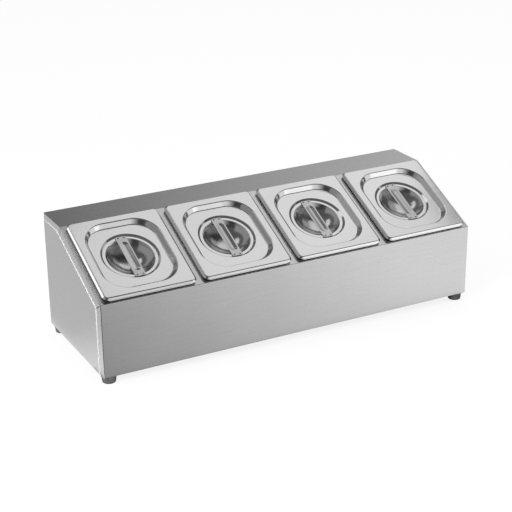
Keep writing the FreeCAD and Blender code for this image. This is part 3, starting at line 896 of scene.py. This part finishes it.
# Each curved card: its name, its sides and its heights in degrees, and its light
STUDIO_CARDS = (
    ("overhead_card", (110, 152), (41, 75), Fade("X", 0.8, 1.5, 0.90, 1.00)),
    ("overhead_right_card", (66, 110), (49, 75), 0.92),
    ("back_card", (130, 215), (6, 41), Fade("X", 0.3, 1.7, 0.18, 0.66)),
    ("right_card", (66, 110), (28, 49), 0.5),
    ("right_back_card", (110, 130), (28, 41), 0.5),
    ("right_low_card", (76, 130), (4, 28), 0.12),
    ("front_card", (-40, 5), (-3, 24), Fade("X", -1.1, 0.4, 0.06, 0.92)),
    ("front_right_card", (5, 46), (-3, 24), Fade("X", 0.8, 1.4, 0.85, 1.35)),
    ("front_far_card", (46, 76), (-3, 24), 0.92),
    ("left_top_card", (-190, -100), (62, 74), 1.1),
    ("left_high_card", (-190, -100), (48, 62), 0.15),
    ("left_card", (-165, -50), (28, 48), 0.40),
    ("left_low_card", (-165, -50), (4, 28), 0.28),
)
STUDIO_DOME = (
    ("dome_horizon", (-180, 180), (-5, 36), Fade("X", -1.3, 1.3, 0.07, 0.10)),
    ("dome_middle", (-180, 180), (36, 66), 0.13),
    ("dome_top", (-180, 180), (66, 89), 0.15),
)

FLAG_HEIGHT = 0.0004
FLAG_REACH = 2.0
FLAG_FRONT = -2.2
LEFT_OF_TRAY = -0.365
BEFORE_TRAY = -0.14
UNDER_TRAY = -0.05
UNDER_REACH = 0.36
FRONT_FADE = Fade("X", -0.75, 0.34, 0.06, 1.03)
LEFT_FADE = Fade("Y", -0.10, 0.10, 1.1, 0.69)

# Each flag: its name, its front left and back right corners, and its light
FLOOR_FLAGS = (
    ("front_flag", (LEFT_OF_TRAY, FLAG_FRONT), (FLAG_REACH, BEFORE_TRAY), FRONT_FADE),
    ("corner_flag", (-FLAG_REACH, FLAG_FRONT), (LEFT_OF_TRAY, BEFORE_TRAY), 0.04),
    ("left_flag", (-FLAG_REACH, BEFORE_TRAY), (LEFT_OF_TRAY, FLAG_REACH), LEFT_FADE),
    ("under_flag", (-UNDER_REACH, BEFORE_TRAY), (UNDER_REACH, UNDER_TRAY), 0.02),
)

SLAT_OUT = 0.030
SLAT_BACK = 0.027
SLAT_RISE = 0.013
SLAT_WIDTH = 0.012
SLAT_LEVEL = 1.7


def only_in_metal(stage_piece):
    """Leaves a card of the stage to be seen in reflections alone."""
    stage_piece.visible_camera = False
    stage_piece.visible_diffuse = False
    stage_piece.visible_shadow = False


def glow_material(name, light):
    """A card's own light, which is one level or a fade."""
    material, tree, shader = new_material(name)
    tree.nodes.remove(shader)
    glow = node(tree, "ShaderNodeEmission")
    tree.links.new(glow.outputs["Emission"], tree.nodes["Material Output"].inputs["Surface"])
    if isinstance(light, Fade):
        coordinates = node(tree, "ShaderNodeTexCoord")
        parts = node(tree, "ShaderNodeSeparateXYZ")
        tree.links.new(coordinates.outputs["Object"], parts.inputs["Vector"])
        along = parts.outputs[light.axis]
        level = spread(tree, along, light.first_level, light.last_level, (light.start, light.end))
        tree.links.new(level, glow.inputs["Strength"])
    else:
        glow.inputs["Strength"].default_value = light
    return material


def make_card(name, sides, heights, light, radius):
    """A curved card round the stage: sides in degrees from the front to the right, heights up from level."""
    first, last = (math.radians(turn) for turn in sides)
    bottom, top = (math.radians(turn) for turn in heights)
    across = max(1, round((last - first) / CARD_STEP))
    up = max(1, round((top - bottom) / CARD_STEP))
    shell = bmesh.new()
    rows = []
    for row in range(up + 1):
        height = bottom + (top - bottom) * row / up
        line = []
        for column in range(across + 1):
            turn = first + (last - first) * column / across
            line.append(shell.verts.new((
                radius * math.cos(height) * math.sin(turn),
                -radius * math.cos(height) * math.cos(turn),
                CARD_CENTRE + radius * math.sin(height),
            )))
        rows.append(line)
    for lower, upper in zip(rows, rows[1:]):
        for column in range(across):
            shell.faces.new((lower[column], upper[column], upper[column + 1], lower[column + 1]))
    only_in_metal(new_piece(name, shell, glow_material(name, light)))


def make_flag(name, front_left, back_right, light):
    """A grey flag laid on the floor, which shades what the upright sheets mirror."""
    left, front = front_left
    right, back = back_right
    shell = bmesh.new()
    for x, y in ((left, front), (right, front), (right, back), (left, back)):
        shell.verts.new((x, y, FLAG_HEIGHT))
    shell.faces.new(shell.verts)
    only_in_metal(new_piece(name, shell, glow_material(name, light)))


def make_slat():
    """A narrow light that lies along the first lid's left rim."""
    low, high = deck_box("lid_1")
    shell = bmesh.new()
    rise = high.z + SLAT_RISE
    front, back = low.y + SLAT_BACK, high.y + SLAT_BACK
    for along, above in ((front, -1), (back, -1), (back, 1), (front, 1)):
        shell.verts.new((low.x - SLAT_OUT, along, rise + above * SLAT_WIDTH / 2))
    shell.faces.new(shell.verts)
    only_in_metal(new_piece("left_slat", shell, glow_material("left_slat", SLAT_LEVEL), DECK))


# Lamps, which the steel doesn't mirror. Each: its name, its place, its aim, its two sides and its watts.

STUDIO_LAMPS = (
    ("overhead_softbox", (0.3, 0.2, 1.9), (0, 0, 0.1), (1.6, 1.2), 3),
    ("right_softbox", (1.3, -1.2, 1.0), (0, 0, 0.1), (0.9, 0.9), 3),
    ("left_softbox", (-1.2, -0.7, 0.8), (-0.35, 0, 0.1), (0.6, 0.6), 14),
)


def make_lamp(name, place, aim, size, watts):
    light = bpy.data.lights.new(name, "AREA")
    light.shape = "RECTANGLE"
    light.size, light.size_y = size
    light.energy = watts
    lamp = bpy.data.objects.new(name, light)
    lamp.location = place
    lamp.visible_glossy = False
    lamp.rotation_euler = (Vector(aim) - Vector(place)).to_track_quat("-Z", "Y").to_euler()
    bpy.context.scene.collection.objects.link(lamp)


def make_studio():
    for card in STUDIO_CARDS:
        make_card(*card, CARD_RADIUS)
    for card in STUDIO_DOME:
        make_card(*card, DOME_RADIUS)
    for flag in FLOOR_FLAGS:
        make_flag(*flag)
    make_slat()
    for lamp in STUDIO_LAMPS:
        make_lamp(*lamp)


# Finishes: shade, roughness, grain in features per metre along each axis, and how deep the grain looks

BODY_GRAIN = (18, 2200, 2200)
END_GRAIN = (2200, 18, 2200)
SATIN_GRAIN = (300, 300, 300)
LID_GRAIN = (40, 1800, 1800)
STRAP_GRAIN = (1800, 40, 1800)
TURNED_GRAIN = (900, 900, 900)

body_steel = brushed_steel("brushed_body_sheet", 0.60, 0.27, BODY_GRAIN, 0.05)
end_steel = brushed_steel("brushed_end_sheet", 0.60, 0.28, END_GRAIN, 0.05)
# The cut edges' near-white, non-metal colour is a painted highlight for the bright seam lines; the left
# softbox lights it.
painted_highlight_edge = brushed_steel("cut_edge_painted_highlight", 0.96, 0.45, SATIN_GRAIN, 0.02, metallic=0.0)
pan_steel = brushed_steel("satin_pan_steel", 0.80, 0.16, SATIN_GRAIN, 0.03, -SLOPE)
lid_steel = brushed_steel("bright_lid_steel", 0.70, 0.12, LID_GRAIN, 0.02, -SLOPE)
# The bowl is the lid's own sheet: its extra roughness is a real satin finish, its lower shade is painted
# shade.
bowl_steel_painted_darker = brushed_steel("satin_bowl_painted_shade", 0.56, 0.17, SATIN_GRAIN, 0.03, -SLOPE)
strap_steel = brushed_steel("strap_steel", 0.50, 0.17, STRAP_GRAIN, 0.03, -SLOPE)
fastener_steel = brushed_steel("turned_fastener_steel", 0.52, 0.30, TURNED_GRAIN, 0.05)
rubber = moulded_rubber("foot_rubber")

# The tray

for sheet_node in ("body_wrap", "back_panel", "base_panel"):
    make_sheet(sheet_node, body_steel)
for sheet_node in ("left_end_panel", "right_end_panel"):
    make_sheet(sheet_node, end_steel, PANEL_EDGE_BREAK, painted_highlight_edge)
for pan_number in PAN_NUMBERS:
    make_pan(pan_number, pan_steel)
    make_lid(pan_number, lid_steel, bowl_steel_painted_darker)
    strap_low, strap_high = make_strap(pan_number, strap_steel)
    make_welds(pan_number, strap_low, strap_high, strap_steel)
make_fasteners([make_foot(foot_node, rubber) for foot_node in FOOT_NODES], fastener_steel)

# The stage

make_floor()
make_studio()
set_world()
set_camera()
bpy.context.scene.view_settings.view_transform = "Standard"
